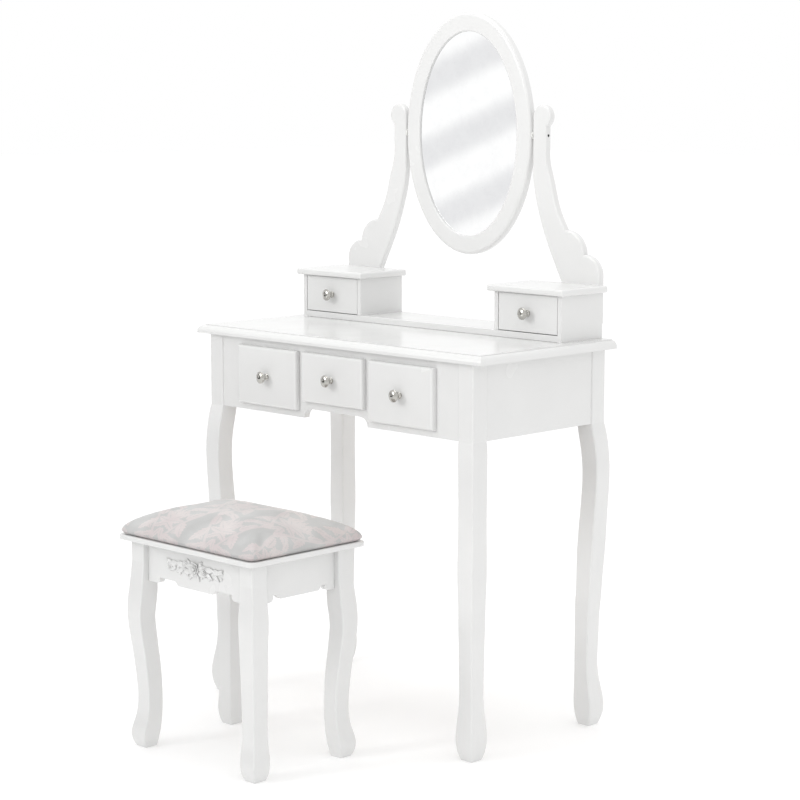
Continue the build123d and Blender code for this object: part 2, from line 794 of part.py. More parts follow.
plate_distance = leg_post * sqrt(2) + bracket_standoff / sqrt(2)
bolt_z = top_under_z - bracket_below_top - bracket_height / 2
bracket_range = around(bolt_z, bracket_height)
leg_bolt, leg_nut = hanger_bolt(leg_post, bolt_in_leg, plate_distance, bracket_thickness,
                                bolt_z)
table_leg = sawn_leg(table_leg_stations, leg_post, apron_z, top_under_z) - leg_bolt
for corner, leg in four_legs(table_leg, post_x, leg_half_y, table_mid_y).items():
    save(f"{corner}_leg", leg)
bracket = corner_bracket(plate_distance, panel_setback + panel_thickness, bracket_range)
bracket -= leg_bolt
save("corner_brackets", *four_corners(bracket, post_x, leg_half_y, table_mid_y))
save("leg_bolts", *four_corners(leg_bolt, post_x, leg_half_y, table_mid_y),
     *four_corners(leg_nut, post_x, leg_half_y, table_mid_y))

divider = board(around(drawer_pitch / 2, divider_thickness), (rail_back_y, rear_inner_y),
                (apron_z + arch_rise, top_under_z))
save("drawer_dividers", flip(divider), divider)
save("drawer_runners", *make_runners())
save_main_drawers()

# ---- Build the upper chest ----------------------------------------------------------
base_half = box_outer_x - box_board
base_board = board((-base_half, base_half), (chest_front_y, top_back_y),
                   (table_height, base_top_z))
base_board = fillet(base_board.edges().filter_by(Axis.X).group_by(Axis.Y)[0], 1.5)
screws = []
for x in (-base_half + 50, base_half - 50):
    for y in (chest_front_y + 30, top_back_y - 30):
        screws.append(Pos(x, y, top_under_z) * wood_screw(top_thickness + 9))
for screw in screws:
    top -= screw
    base_board -= screw
save("table_top", top)
save("chest_base_board", base_board)

box_case = make_box_case()
post = make_post()
post_back_y = post_y + post_thickness / 2
for x, lift in ((post_foot_inner_x + 22, 18), (post_foot_outer_x - 22, 18),
                (post_foot_inner_x + 30, 48), (post_foot_outer_x - 22, 48)):
    seat = (x, post_back_y, post_foot_z + lift)
    screw = placed(wood_screw(post_thickness + 0.8 * box_board), seat, (0, -1, 0))
    post -= screw
    box_case = [case_board - screw for case_board in box_case]
    screws += [screw, flip(screw)]
box_top = make_box_top()
save("right_box_case", *box_case)
save("left_box_case", *[flip(case_board) for case_board in box_case])
save("right_box_top", box_top)
save("left_box_top", flip(box_top))
save("right_post", post)
save("left_post", flip(post))
save("chest_screws", *screws)
save_small_drawers()

# ---- Build the mirror -----------------------------------------------------------------
pivot_bolt = make_pivot_bolt()
pivot_bolts = [flip(pivot_bolt), pivot_bolt]
washer = make_pivot_washer()
clips, clip_screws = backing_clips()
mirror_frame = make_mirror_frame(pivot_bolts + clip_screws)
glass = ellipse_board(glass_half_width + rebate, glass_half_height + rebate, glass_front_y,
                      glass_thickness)
backing = ellipse_board(glass_half_width + rebate, glass_half_height + rebate,
                        backing_front_y, mirror_back_y - backing_front_y)
save("mirror_frame", mirror_frame)
save("mirror_glass", glass)
save("mirror_backing", backing)
save("backing_clips", *clips, *clip_screws)
save("pivot_bolts", *pivot_bolts)
save("pivot_washers", flip(washer), washer)

# ---- Build the stool -------------------------------------------------------------------
block = corner_block()
block_distance = (stool_post + block_size + stool_apron_setback + stool_apron_thickness) \
    / sqrt(2)
stool_bolt, stool_nut = hanger_bolt(stool_post, bolt_in_leg, block_distance, 0,
                                    seat_under_z - block_height / 2)
screw = seat_screw()
stool_leg = sawn_leg(stool_leg_stations, stool_post, stool_bend_z, seat_under_z) - stool_bolt
for corner, leg in four_legs(stool_leg, stool_half_x, stool_half_y, stool_y).items():
    save(f"stool_{corner}_leg", leg)
stool_corner = (stool_half_x, stool_half_y, stool_y)
save("stool_corner_blocks", *four_corners(block - stool_bolt - screw, *stool_corner))
seat_screws = four_corners(screw, *stool_corner)
save("stool_fixings", *four_corners(stool_bolt, *stool_corner),
     *four_corners(stool_nut, *stool_corner), *seat_screws)

stool_front, stool_rear, stool_left, stool_right = make_stool_aprons()
save("stool_front_apron", stool_front)
save("stool_rear_apron", stool_rear)
save("stool_side_aprons", stool_left, stool_right)

seat_outline = RectangleRounded(stool_width, stool_depth, seat_corner_radius)
seat_board = Pos(0, stool_y, seat_under_z) * extrude(seat_outline, amount=seat_board_thickness)
seat_board = fillet(seat_board.faces().filter_by(Axis.Z).edges(), seat_edge_radius)
for screw in seat_screws:
    seat_board -= screw
save("seat_board", seat_board)

cushion_outline = RectangleRounded(stool_width - 2 * cushion_inset,
                                   stool_depth - 2 * cushion_inset, seat_corner_radius)
crown_outline = RectangleRounded(stool_width - 2 * cushion_height,
                                 stool_depth - 2 * cushion_height, seat_corner_radius)
cushion = extrude(cushion_outline, amount=cushion_band)
cushion += loft([Pos(0, 0, cushion_band) * cushion_outline,
                 Pos(0, 0, cushion_height) * crown_outline])
cushion = Pos(0, stool_y, seat_board_top) * cushion
save("cushion", cushion)
save("carving", make_carving(stool_y - stool_half_y + stool_apron_setback))
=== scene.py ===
"""Looks of the dressing table set: lacquer, metals, glass, damask cushion and carved spray."""
import json
from math import cos, pi, radians, sin

import bmesh
import bpy
from mathutils import Euler, Matrix, Vector


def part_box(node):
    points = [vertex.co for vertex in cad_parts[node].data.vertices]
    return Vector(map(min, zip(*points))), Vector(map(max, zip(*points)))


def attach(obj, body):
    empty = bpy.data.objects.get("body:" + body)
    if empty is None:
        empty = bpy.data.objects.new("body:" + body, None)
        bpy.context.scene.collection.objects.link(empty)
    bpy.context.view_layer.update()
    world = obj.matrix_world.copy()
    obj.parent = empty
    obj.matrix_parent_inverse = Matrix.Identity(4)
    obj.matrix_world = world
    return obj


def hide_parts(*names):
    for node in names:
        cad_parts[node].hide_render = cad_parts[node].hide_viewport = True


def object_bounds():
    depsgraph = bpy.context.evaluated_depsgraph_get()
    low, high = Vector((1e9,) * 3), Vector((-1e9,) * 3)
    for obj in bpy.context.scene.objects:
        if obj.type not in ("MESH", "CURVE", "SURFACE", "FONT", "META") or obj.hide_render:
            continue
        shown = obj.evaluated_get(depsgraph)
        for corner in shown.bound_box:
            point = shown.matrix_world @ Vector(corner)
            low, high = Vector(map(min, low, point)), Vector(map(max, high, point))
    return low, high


MM = 0.001
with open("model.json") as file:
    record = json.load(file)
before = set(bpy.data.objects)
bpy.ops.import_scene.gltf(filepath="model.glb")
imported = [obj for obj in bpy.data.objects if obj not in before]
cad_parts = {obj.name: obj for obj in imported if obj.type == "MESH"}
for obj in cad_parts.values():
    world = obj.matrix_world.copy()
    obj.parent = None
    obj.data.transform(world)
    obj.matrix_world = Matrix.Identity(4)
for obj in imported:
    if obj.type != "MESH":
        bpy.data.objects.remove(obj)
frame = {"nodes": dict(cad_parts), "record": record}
nodes = frame["nodes"]
cad_box = [list(corner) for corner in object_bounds()]


# ---- Shader helpers -----------------------------------------------------------------
# A Mix node has sockets for every data type, and these are the ones for colours
MIX_AMOUNT, MIX_FIRST, MIX_SECOND, MIX_COLOUR = 0, 6, 7, 2


class Value:
    """A number that varies over a surface. Arithmetic on it adds Math nodes."""

    def __init__(self, finish, socket):
        self.finish = finish
        self.socket = socket

    def math(self, operation, *others):
        inputs = dict(enumerate((self,) + others))
        made = self.finish.node("ShaderNodeMath", {"operation": operation}, inputs)
        return Value(self.finish, made.outputs[0])

    def __add__(self, other):
        return self.math("ADD", other)

    def __mul__(self, other):
        return self.math("MULTIPLY", other)

    __radd__ = __add__
    __rmul__ = __mul__

    def __sub__(self, other):
        return self.math("SUBTRACT", other)

    def __rsub__(self, other):
        return self * -1 + other

    def __truediv__(self, other):
        return self.math("DIVIDE", other)

    def __pow__(self, other):
        return self.math("POWER", other)

    def __abs__(self):
        return self.math("ABSOLUTE")

    def least(self, other):
        return self.math("MINIMUM", other)

    def most(self, other):
        return self.math("MAXIMUM", other)

    def ramp(self, low, high):
        """0 below low, 1 above high, smooth between."""
        made = self.finish.node("ShaderNodeMapRange", {"interpolation_type": "SMOOTHSTEP"},
                                {"Value": self, "From Min": low, "From Max": high})
        return Value(self.finish, made.outputs["Result"])


class Finish:
    """One procedural material around a Principled surface."""

    def __init__(self, name, **constants):
        self.material = bpy.data.materials.new(name)
        self.material.use_nodes = True
        self.tree = self.material.node_tree
        self.surface = self.tree.nodes["Principled BSDF"]
        for socket, value in constants.items():
            self.surface.inputs[socket.replace("_", " ")].default_value = value

    def node(self, kind, settings=None, inputs=None):
        """A new node: its settings are set first, then its sockets' values or links."""
        made = self.tree.nodes.new(kind)
        for name, value in (settings or {}).items():
            setattr(made, name, value)
        for name, value in (inputs or {}).items():
            self.plug(made.inputs[name], value)
        return made

    def plug(self, socket, value):
        """Puts a link or a constant on a socket."""
        if isinstance(value, Value):
            value = value.socket
        if isinstance(value, bpy.types.NodeSocket):
            self.tree.links.new(value, socket)
        else:
            socket.default_value = value

    def place(self, scale=(1, 1, 1)):
        """Object coordinates in metres, stretched by scale."""
        where = self.node("ShaderNodeTexCoord").outputs["Object"]
        mapped = self.node("ShaderNodeMapping", None, {"Vector": where, "Scale": scale})
        return mapped.outputs[0]

    def noise(self, per_metre, vector=None, detail=2.0, rough=0.5):
        """Soft noise from 0 to 1, with about per_metre features in a metre."""
        made = self.node("ShaderNodeTexNoise", None, {
            "Vector": vector or self.place(), "Scale": per_metre, "Detail": detail,
            "Roughness": rough})
        return Value(self, made.outputs["Fac"])

    def blend(self, amount, first, second):
        """A colour between two colours."""
        made = self.node("ShaderNodeMix", {"data_type": "RGBA"}, {
            MIX_AMOUNT: amount, MIX_FIRST: first, MIX_SECOND: second})
        return made.outputs[MIX_COLOUR]

    def bump(self, height, distance, strength=1.0):
        """Relief on the surface. Height times distance is in metres."""
        made = self.node("ShaderNodeBump", None, {
            "Height": height, "Distance": distance, "Strength": strength})
        self.plug(self.surface.inputs["Normal"], made.outputs["Normal"])

    def colour(self, value):
        self.plug(self.surface.inputs["Base Color"], value)

    def roughness(self, value):
        self.plug(self.surface.inputs["Roughness"], value)


def rgb(red, green, blue):
    return (red, green, blue, 1.0)


# ---- Materials ----------------------------------------------------------------------
def lacquer(name, base, rough, peel, grain=0.0):
    """White sprayed lacquer: faint orange peel, slight unevenness in colour and gloss."""
    made = Finish(name, Coat_Weight=0.35, Coat_Roughness=rough * 0.6, IOR=1.45)
    cloud = made.noise(9, detail=3.0)
    low = [channel * 0.975 for channel in base]
    made.colour(made.blend(cloud.ramp(0.3, 0.7), rgb(*low), rgb(*base)))
    spray = made.noise(420, detail=1.0)
    made.roughness(cloud * 0.08 + (rough - 0.04))
    height = spray * peel
    if grain:
        fibre = made.noise(1, made.place((260, 260, 14)), detail=4.0, rough=0.6)
        height = height + fibre * grain
    made.bump(height, 1.0)
    return made.material


def planed_wood(name, light, dark, along, rough=0.55):
    """Bare wood with rings drawn out along the boards."""
    made = Finish(name)
    stretch = [6.0 if axis == along else 60.0 for axis in "XYZ"]
    warp = made.noise(2.5, made.place([value / 10 for value in stretch]), detail=3.0)
    ring = made.node("ShaderNodeTexWave", {"wave_type": "RINGS"}, {
        "Vector": made.place([value / 3 for value in stretch]), "Scale": 1.5,
        "Distortion": 3.0, "Detail": 2.0})
    fibre = made.noise(1, made.place([value * 9 for value in stretch]), detail=3.0)
    tone = Value(made, ring.outputs["Fac"]) * 0.55 + fibre * 0.3 + warp * 0.3
    made.colour(made.blend(tone.ramp(0.2, 0.95), rgb(*light), rgb(*dark)))
    made.roughness(fibre * 0.2 + (rough - 0.1))
    made.bump(fibre * 0.00012, 1.0)
    return made.material


def pressed_board(name, light, dark, grain):
    """Hardboard or fibreboard: fine flecks of fibre."""
    made = Finish(name)
    fleck = made.noise(grain, detail=6.0, rough=0.75)
    cloud = made.noise(12, detail=2.0)
    tone = fleck * 0.8 + cloud * 0.2
    made.colour(made.blend(tone.ramp(0.35, 0.65), rgb(*dark), rgb(*light)))
    made.roughness(fleck * 0.25 + 0.55)
    made.bump(fleck * 0.00015, 1.0)
    return made.material


def plated(name, base, rough, brushed=0.0):
    """Plated or polished metal, with faint smears and fine brushing."""
    made = Finish(name, Metallic=1.0)
    smear = made.noise(90, detail=3.0)
    low = [channel * 0.9 for channel in base]
    made.colour(made.blend(smear.ramp(0.3, 0.7), rgb(*low), rgb(*base)))
    made.roughness(smear * rough + rough * 0.5)
    if brushed:
        line = made.noise(1, made.place((3000, 3000, 120)), detail=2.0)
        made.bump(line * brushed, 1.0)
    return made.material


def moulded_nylon(name):
    made = Finish(name)
    speck = made.noise(900, detail=2.0)
    made.colour(made.blend(speck, rgb(0.72, 0.72, 0.69), rgb(0.78, 0.78, 0.76)))
    made.roughness(speck * 0.15 + 0.4)
    made.bump(speck * 0.00002, 1.0)
    return made.material


def silvered_glass(name):
    """Mirror: silvering under clear glass, with very faint waviness and dust."""
    made = Finish(name, Metallic=1.0, Coat_Weight=1.0, Coat_Roughness=0.01)
    dust = made.noise(35, detail=6.0, rough=0.7)
    made.colour(made.blend(dust.ramp(0.35, 0.75), rgb(0.93, 0.935, 0.935),
                           rgb(0.89, 0.895, 0.9)))
    made.roughness(dust * 0.02 + 0.008)
    made.bump(made.noise(6, detail=0.0) * 0.00004, 1.0)
    return made.material


REPEAT_X, REPEAT_Y = 0.150, 0.205    # one repeat of the figure, in metres
WEFT_SCALE, WARP_SCALE = 330.0, 260.0
TOOTH_PITCH = 0.0075                 # from one tooth of a leaf's edge to the next
# The palmette's middle leaf, then those on one side: centre, length and width in mm,
# turn in degrees
CENTRE_LEAF = ((0, 22), 7, 22, 0)
PALMETTE = (
    ((8, 26), 21, 6, 68), ((15, 16), 22, 7, 40), ((17, 2), 20, 7, 10),
    ((13, -12), 18, 6, -24), ((44, 28), 18, 8, 58), ((48, -16), 22, 9, -56),
    ((32, -44), 21, 8, -28), ((26, 54), 17, 7, 32), ((7, -38), 20, 6, -74),
    ((58, 62), 17, 7, 104), ((60, -72), 15, 7, 68), ((34, 84), 14, 6, -30))


def damask(name):
    """Woven damask: silver-grey satin ground, ivory and rose leaves, fine weave."""
    made = Finish(name, Sheen_Weight=0.2, Sheen_Roughness=0.4, Specular_IOR_Level=0.6)
    cloth = made.node("ShaderNodeUVMap", {"uv_map": "cloth"}).outputs["UV"]
    wander = made.node("ShaderNodeTexNoise", None, {"Vector": cloth, "Scale": 14.0,
                                                    "Detail": 2.0})
    shifted = made.node("ShaderNodeVectorMath", {"operation": "MULTIPLY_ADD"}, {
        0: wander.outputs["Color"], 1: (0.010, 0.010, 0), 2: cloth}).outputs[0]
    axes = made.node("ShaderNodeSeparateXYZ", None, {"Vector": shifted})
    across, along = Value(made, axes.outputs["X"]), Value(made, axes.outputs["Y"])

    def leaf(x, y, at, length, width, turn):
        """1 inside a serrated leaf and 0 outside, with fine veins left open."""
        from_centre = (x - at[0] * MM, y - at[1] * MM)
        run = from_centre[0] * cos(radians(turn)) + from_centre[1] * sin(radians(turn))
        rise = from_centre[1] * cos(radians(turn)) - from_centre[0] * sin(radians(turn))
        comb = (run - abs(rise) * 0.8) * (2 * pi / TOOTH_PITCH)
        teeth = comb.math("SINE") * 0.16 + 1.0
        taper = 1.0 - run / (length * MM) * 0.4
        reach = (run / (length * MM)) ** 2 + (rise / (taper * (width * MM)) * teeth) ** 2
        inside = 1.0 - reach.ramp(0.88, 1.05)
        rib = 1.0 - (abs(rise) + run * run * 2.0).ramp(0.0005, 0.0012)
        side_veins = comb.math("SINE").ramp(0.75, 0.98) * 0.35
        return inside * (1.0 - rib * 0.8).least(1.0 - side_veins)

    def motif(shift_x, shift_y):
        """One palmette with its leaves and stems, mirrored about its own middle."""
        x = (across + (10 * REPEAT_X + shift_x)).math("MODULO", REPEAT_X) - REPEAT_X / 2
        x = abs(x)
        y = (along + (10 * REPEAT_Y + shift_y)).math("MODULO", REPEAT_Y) - REPEAT_Y / 2
        shape = leaf(x, y, *CENTRE_LEAF)
        for at, length, width, turn in PALMETTE:
            shape = shape.most(leaf(x, y, at, length, width, turn))
        wave = (y * (2 * pi / REPEAT_Y)).math("SINE") * 0.022 + 0.036
        stem = 1.0 - abs(x - wave).ramp(0.0014, 0.0026)
        return shape.most(stem * 0.8)

    figure = motif(0.0, 0.0).most(motif(REPEAT_X / 2, REPEAT_Y / 2) * 0.85)
    cloud = made.noise(14, detail=3.0)
    ivory_rose = made.blend(cloud.ramp(0.3, 0.7), rgb(0.585, 0.505, 0.505),
                            rgb(0.67, 0.615, 0.60))
    silver_grey = made.blend(cloud.ramp(0.3, 0.7), rgb(0.44, 0.44, 0.435),
                             rgb(0.53, 0.53, 0.525))
    made.colour(made.blend(figure * 0.75, silver_grey, ivory_rose))
    weft = made.node("ShaderNodeTexWave", {"bands_direction": "X"}, {
        "Vector": cloth, "Scale": WEFT_SCALE, "Distortion": 0.4})
    warp = made.node("ShaderNodeTexWave", {"bands_direction": "Y"}, {
        "Vector": cloth, "Scale": WARP_SCALE, "Distortion": 0.4})
    thread = Value(made, weft.outputs["Fac"]) * Value(made, warp.outputs["Fac"])
    made.roughness(0.50 - figure * 0.10 + thread * 0.08)
    made.bump(thread * 0.00006 + figure * 0.00012, 1.0)
    return made.material


WHITE = (0.735, 0.735, 0.729)
finishes = {
    "white_lacquer": lacquer("white lacquer", WHITE, 0.26, 0.000010),
    "white_legs": lacquer("white leg lacquer", WHITE, 0.30, 0.000012, grain=0.00004),
    "tray_board": lacquer("white tray paint", (0.74, 0.735, 0.71), 0.5, 0.00002,
                          grain=0.00008),
    "hardboard": pressed_board("hardboard", (0.45, 0.31, 0.19), (0.30, 0.19, 0.11), 700),
    "bare_wood": planed_wood("planed pine", (0.62, 0.45, 0.27), (0.44, 0.27, 0.13), "Y"),
    "zinc_steel": plated("zinc plated steel", (0.62, 0.63, 0.64), 0.28, brushed=0.00002),
    # Nickel's colour is set darker than bare nickel so it mirrors the white studio dimly:
    # painted shade in its reflections
    "nickel": plated("polished nickel", (0.50, 0.49, 0.46), 0.06),
    "black_steel": plated("black steel", (0.05, 0.05, 0.05), 0.35),
    "nylon": moulded_nylon("moulded nylon"),
    "silvered_glass": silvered_glass("silvered glass"),
    "backing_board": pressed_board("fibreboard", (0.50, 0.36, 0.23), (0.38, 0.26, 0.15),
                                   500),
    "damask": damask("damask"),
}
polished = lacquer("polished white lacquer", WHITE, 0.19, 0.000006)
GLOSSIER_NODES = ("table_top", "chest_base_board")
for row in frame["record"]["subparts"]:
    chosen = finishes[row["material_slot"]]
    if row["node"] in GLOSSIER_NODES:
        chosen = polished
    for slot in nodes[row["node"]].material_slots:
        slot.material = chosen


# ---- Modelling helpers ----------------------------------------------------------------
def start_fresh():
    """Leaves edit mode with nothing selected."""
    if bpy.context.object and bpy.context.object.mode != "OBJECT":
        bpy.ops.object.mode_set(mode="OBJECT")
    bpy.ops.object.select_all(action="DESELECT")


def settle(piece, finish):
    """Puts the piece's place into its mesh and gives it a finish."""
    start_fresh()
    piece.select_set(True)
    bpy.context.view_layer.objects.active = piece
    bpy.ops.object.transform_apply(location=True, rotation=True, scale=True)
    piece.data.materials.clear()
    piece.data.materials.append(finish)


def pick(piece, wanted, kind="faces"):
    """In edit mode, selects the faces, edges or vertices that the test accepts."""
    mesh = bmesh.from_edit_mesh(piece.data)
    for item in list(mesh.faces) + list(mesh.edges) + list(mesh.verts):
        item.select = False
    for item in getattr(mesh, kind):
        if wanted(item):
            item.select_set(True)
    bmesh.update_edit_mesh(piece.data)


def finish_modifier(piece, kind, **settings):
    """Adds a modifier and applies it at once."""
    bpy.context.view_layer.objects.active = piece
    made = piece.modifiers.new(kind.lower(), kind)
    for name, value in settings.items():
        setattr(made, name, value)
    bpy.ops.object.modifier_apply(modifier=made.name)


def joined(pieces, name):
    """Several pieces as one object."""
    start_fresh()
    for piece in pieces:
        piece.select_set(True)
    bpy.context.view_layer.objects.active = pieces[0]
    bpy.ops.object.join()
    whole = bpy.context.object
    whole.name = name
    whole.data.name = name
    return whole


# ---- Cushion ------------------------------------------------------------------------
low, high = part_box("cushion")
BAND = 7 * MM            # tucked-in band under the crease
TUCK_DEPTH = 2.4 * MM
TUCK_HEIGHT = 2.5 * MM   # the tuck deepens over this much below the crease
CORNER_RADIUS = 13 * MM
VOXEL = 5 * MM
PRESSURE = 4.0
SETTLING_FRAMES = 20
SWELL_LIMIT = 9 * MM     # how far the filling may push a point
FOOT_GAP = 0.4 * MM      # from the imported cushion's underside up to this one's
DRAPE_DROP = 30 * MM     # the weave starts to run down the sides this far below the top
# Height above the board and distance in from the rim in mm, for each row up the mound
ROWS = ((8, 0), (13, 1.5), (19, 6), (26, 15), (33, 30), (39, 50), (44, 76), (47.5, 108))


def cushion_blank():
    """The cushion before it fills: an upright band round the board and a low mound."""
    start_fresh()
    middle = (low + high) / 2
    half = (high - low) / 2
    bpy.ops.mesh.primitive_cube_add(size=1, location=(middle.x, middle.y, low.z + BAND / 2))
    piece = bpy.context.object
    piece.dimensions = (2 * half.x, 2 * half.y, BAND)
    bpy.ops.object.transform_apply(location=True, rotation=True, scale=True)
    bpy.ops.object.mode_set(mode="EDIT")
    bpy.ops.mesh.select_mode(type="EDGE")
    pick(piece, lambda e: abs((e.verts[0].co - e.verts[1].co).z) > BAND / 2, "edges")
    bpy.ops.mesh.bevel(offset=CORNER_RADIUS, segments=6, affect="EDGES")
    bpy.ops.mesh.select_mode(type="FACE")
    pick(piece, lambda f: f.normal.z > 0.9)
    height, inset = BAND / MM, 0.0
    for next_height, next_inset in ROWS:
        bpy.ops.mesh.extrude_region_move(
            TRANSFORM_OT_translate={"value": (0, 0, (next_height - height) * MM)})
        shrink = [(side - next_inset * MM) / (side - inset * MM) for side in (half.x, half.y)]
        bpy.ops.transform.resize(value=(*shrink, 1), center_override=middle)
        height, inset = next_height, next_inset
    bpy.ops.object.mode_set(mode="OBJECT")
    return piece


def fill_cushion(piece):
    """Blows the mound up as cloth over foam, holding its band to the board."""
    finish_modifier(piece, "REMESH", mode="VOXEL", voxel_size=VOXEL)
    before = [vertex.co.copy() for vertex in piece.data.vertices]
    held = piece.vertex_groups.new(name="held")
    held_below = low.z + BAND + 1 * MM
    held.add([v.index for v in piece.data.vertices if v.co.z < held_below], 1.0, "REPLACE")
    cloth = piece.modifiers.new("cloth", "CLOTH")
    cloth.settings.vertex_group_mass = "held"
    cloth.settings.use_pressure = True
    cloth.settings.uniform_pressure_force = PRESSURE
    cloth.settings.quality = 6
    cloth.settings.mass = 0.3
    cloth.settings.effector_weights.gravity = 0.0
    cloth.point_cache.frame_start = 1
    cloth.point_cache.frame_end = SETTLING_FRAMES
    for moment in range(1, SETTLING_FRAMES + 1):
        bpy.context.scene.frame_set(moment)
    bpy.context.view_layer.objects.active = piece
    bpy.ops.object.modifier_apply(modifier=cloth.name)
    bpy.context.scene.frame_set(1)
    for vertex, start in zip(piece.data.vertices, before):
        moved = vertex.co - start
        if moved.length > SWELL_LIMIT:
            vertex.co = start + moved * (SWELL_LIMIT / moved.length)
    piece.vertex_groups.clear()


def sew_cushion(piece):
    """Smooths the cloth, presses the crease above the band and lays out the weave."""
    finish_modifier(piece, "SMOOTH", factor=0.6, iterations=6)
    finish_modifier(piece, "SUBSURF", levels=1, render_levels=1)
    middle = (low + high) / 2
    crease_z = low.z + BAND
    half = (high - low) / 2
    top_z = max(vertex.co.z for vertex in piece.data.vertices)
    fuller = (high.z - crease_z) / (top_z - crease_z)
    for vertex in piece.data.vertices:
        if vertex.co.z > crease_z:
            vertex.co.z = crease_z + (vertex.co.z - crease_z) * fuller
        tuck = max(0.0, min(1.0, (crease_z - vertex.co.z) / TUCK_HEIGHT))
        vertex.co.x -= TUCK_DEPTH * tuck * (vertex.co.x - middle.x) / half.x
        vertex.co.y -= TUCK_DEPTH * tuck * (vertex.co.y - middle.y) / half.y
        vertex.co.z = max(vertex.co.z, low.z + FOOT_GAP)
    uv = piece.data.uv_layers.new(name="cloth")
    for loop in piece.data.loops:
        point = piece.data.vertices[loop.vertex_index].co - middle
        drop = max(0.0, high.z - DRAPE_DROP - middle.z - point.z)
        steep_x = max(0.0, abs(point.x) / half.x - 0.9) * 10
        steep_y = max(0.0, abs(point.y) / half.y - 0.9) * 10
        uv.data[loop.index].uv = (
            point.x + (drop * steep_x if point.x > 0 else -drop * steep_x),
            point.y + (drop * steep_y if point.y > 0 else -drop * steep_y))
    for face in piece.data.polygons:
        face.use_smooth = True


cushion = cushion_blank()
cushion.name = "seat_cushion"
fill_cushion(cushion)
sew_cushion(cushion)
settle(cushion, finishes["damask"])
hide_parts("cushion")
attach(cushion, "stool")


# ---- Carved rose spray ---------------------------------------------------------------
LEAF_LIFT, LEAF_THICKNESS, LEAF_BASE = 2.6 * MM, 3.0 * MM, 1.6 * MM
BEAD_BASE = 1.2 * MM
ROSE_UNIT = 12.0         # a rose of this size has the rings and the heart as listed
# Petals in a ring, radius in mm, tilt in radians, petal size as a share, height in mm
ROSE_RINGS = ((7, 8.0, 0.25, 0.56, 0.6), (5, 4.8, 0.5, 0.46, 2.2), (3, 2.0, 0.8, 0.34, 3.4))
HEART_RADIUS, HEART_HEIGHT = 2.6, 4.0
ROSES = (((0, 1), 13), ((-25, 4), 9), ((27, 0), 9))
# Foot, length and width in mm and turn in degrees; each has a mirrored copy
SPRAY_LEAVES = (
    ((8, 3), 28, 12, 12), ((8, -3), 26, 12, -14), ((30, 4), 26, 12, 4),
    ((32, -3), 22, 10, -24), ((50, 5), 26, 12, -6), ((54, -2), 20, 9, -30),
    ((6, -7), 16, 8, -58), ((12, 8), 14, 7, 46), ((66, 4), 16, 8, 22))
# Place and radius in mm; each has a mirrored copy
SPRAY_BEADS = ((42, -13, 3.2), (76, -6, 3.4), (78, 4, 3.0), (20, -13, 2.6))


def carved_leaf(at, length, width, turn, lift):
    """A pointed, cupped leaf with a midrib, lying against the apron."""
    start_fresh()
    bpy.ops.mesh.primitive_grid_add(x_subdivisions=12, y_subdivisions=8, size=1)
    piece = bpy.context.object
    for vertex in piece.data.vertices:
        along = vertex.co.x + 0.5
        across = vertex.co.y * 2
        outline = (sin(pi * along ** 0.75) + 0.06) * (1 + 0.10 * sin(along * 26))
        rib = 0.25 * (1 - abs(across)) + 0.75 * sin(pi * along) * (1 - across * across)
        vertex.co.x = along * length
        vertex.co.y = across * width * outline / 2
        vertex.co.z = lift * rib + LEAF_BASE
    finish_modifier(piece, "SOLIDIFY", thickness=LEAF_THICKNESS, offset=-1.0)
    piece.data.transform(Euler((0, 0, radians(turn))).to_matrix().to_4x4())
    piece.data.transform(Matrix.Translation((at[0] * MM, at[1] * MM, 0)))
    return piece


def carved_petal(radius, angle, tilt, size):
    """A rose petal: a cupped shell standing round the rose's heart."""
    start_fresh()
    bpy.ops.mesh.primitive_uv_sphere_add(segments=16, ring_count=10, radius=1)
    piece = bpy.context.object
    for vertex in piece.data.vertices:
        hollow = 0.45 * (vertex.co.x ** 2 + vertex.co.y ** 2)
        vertex.co = Vector((vertex.co.x * size, vertex.co.y * size * 0.8,
                            (vertex.co.z * 0.22 + hollow) * size))
    turn = Euler((0, -tilt, 0)).to_matrix().to_4x4()
    piece.data.transform(turn)
    piece.data.transform(Matrix.Translation((radius, 0, 0)))
    piece.data.transform(Euler((0, 0, angle)).to_matrix().to_4x4())
    return piece


def carved_bead(at, radius):
    """A bud or berry, a little flattened and dimpled at its tip."""
    start_fresh()
    bpy.ops.mesh.primitive_uv_sphere_add(segments=16, ring_count=10, radius=radius * MM)
    piece = bpy.context.object
    for vertex in piece.data.vertices:
        if vertex.co.z > 0.8 * radius * MM:
            vertex.co.z = 0.72 * radius * MM
    piece.data.transform(Matrix.Translation((at[0] * MM, at[1] * MM, BEAD_BASE)))
    return piece


def rose(at, size):
    """Three rings of petals round a heart."""
    petals = []
    for ring, (count, radius, tilt, share, height) in enumerate(ROSE_RINGS):
        for index in range(count):
            angle = 2 * pi * (index + 0.5 * ring) / count
            petal = carved_petal(radius * size * MM / ROSE_UNIT, angle, tilt,
                                 share * size * MM)
            petal.data.transform(Matrix.Translation(
                (at[0] * MM, at[1] * MM, height * size / ROSE_UNIT * MM)))
            petals.append(petal)
    heart = carved_bead(at, HEART_RADIUS * size / ROSE_UNIT)
    heart.data.transform(Matrix.Translation((0, 0, HEART_HEIGHT * size / ROSE_UNIT * MM)))
    return petals + [heart]


